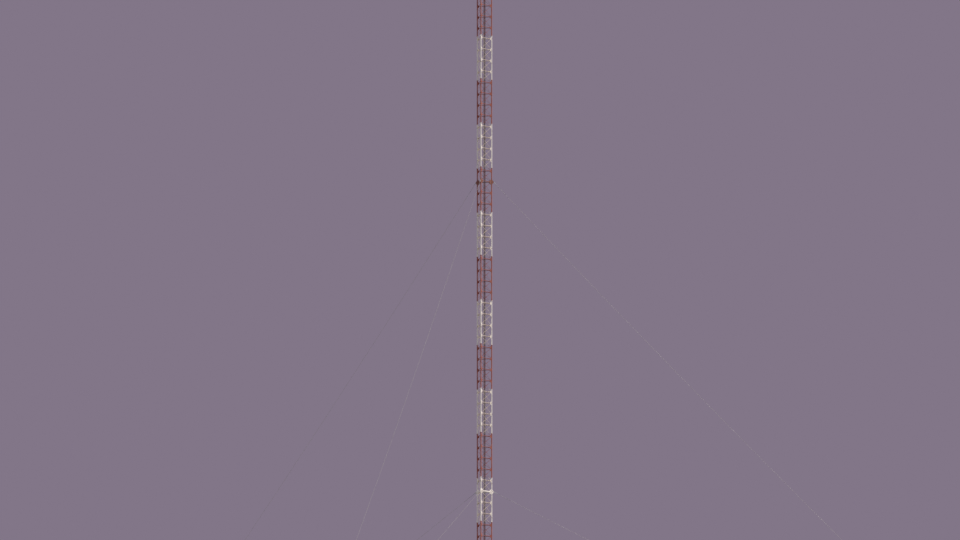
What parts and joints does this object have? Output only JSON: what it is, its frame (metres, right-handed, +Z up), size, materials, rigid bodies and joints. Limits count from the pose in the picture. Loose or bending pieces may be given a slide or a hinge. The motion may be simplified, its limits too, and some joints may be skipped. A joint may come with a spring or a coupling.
{
  "type": "guyed lattice radio mast, one-tenth scale model, shortened",
  "caption": "Triangular lattice mast in red and white bands, pivoted on a concrete pier and held upright by two sets of guys to ground anchors.",
  "frame": {"origin": "centre of the pier's underside, at ground level on the mast's axis", "axes": "+Z up the mast, -Y towards the front leg, +Y out of the face that carries the ladder, +X towards the side of the right leg"},
  "size_m": [21.714, 18.8049, 15.7753],
  "materials": {
    "banded_paint": "weathered brick red and off-white bands by height",
    "galvanised_steel": "dull zinc with a little rust",
    "guy_wire": "stranded galvanised wire",
    "feeder_jacket": "dull dark jacket",
    "beacon_glass": "ribbed red lens",
    "concrete": "cast, weathered"
  },
  "bodies": {
    "root": {"pier": "concrete", "pivot_pedestal": "galvanised_steel", "base_section": "banded_paint", "section_02": "banded_paint", "section_03": "banded_paint", "section_04": "banded_paint", "section_05": "banded_paint", "section_06": "banded_paint", "section_07": "banded_paint", "section_08": "banded_paint", "section_09": "banded_paint", "section_10": "banded_paint", "section_11": "banded_paint", "section_12": "banded_paint", "section_13": "banded_paint", "section_14": "banded_paint", "section_15": "banded_paint", "section_16": "banded_paint", "section_17": "banded_paint", "top_plate": "banded_paint", "beacon": "beacon_glass", "lightning_rod": "galvanised_steel", "feeder_line": "feeder_jacket", "ladder_1": "banded_paint", "ladder_2": "banded_paint", "ladder_3": "banded_paint", "ladder_4": "banded_paint", "guy_lower_front": "guy_wire", "guy_lower_right": "guy_wire", "guy_lower_left": "guy_wire", "guy_upper_front": "guy_wire", "guy_upper_right": "guy_wire", "guy_upper_left": "guy_wire", "anchor_head_front": "galvanised_steel", "anchor_head_right": "galvanised_steel", "anchor_head_left": "galvanised_steel", "anchor_block_front": "concrete", "anchor_block_right": "concrete", "anchor_block_left": "concrete"}
  },
  "joints": []
}
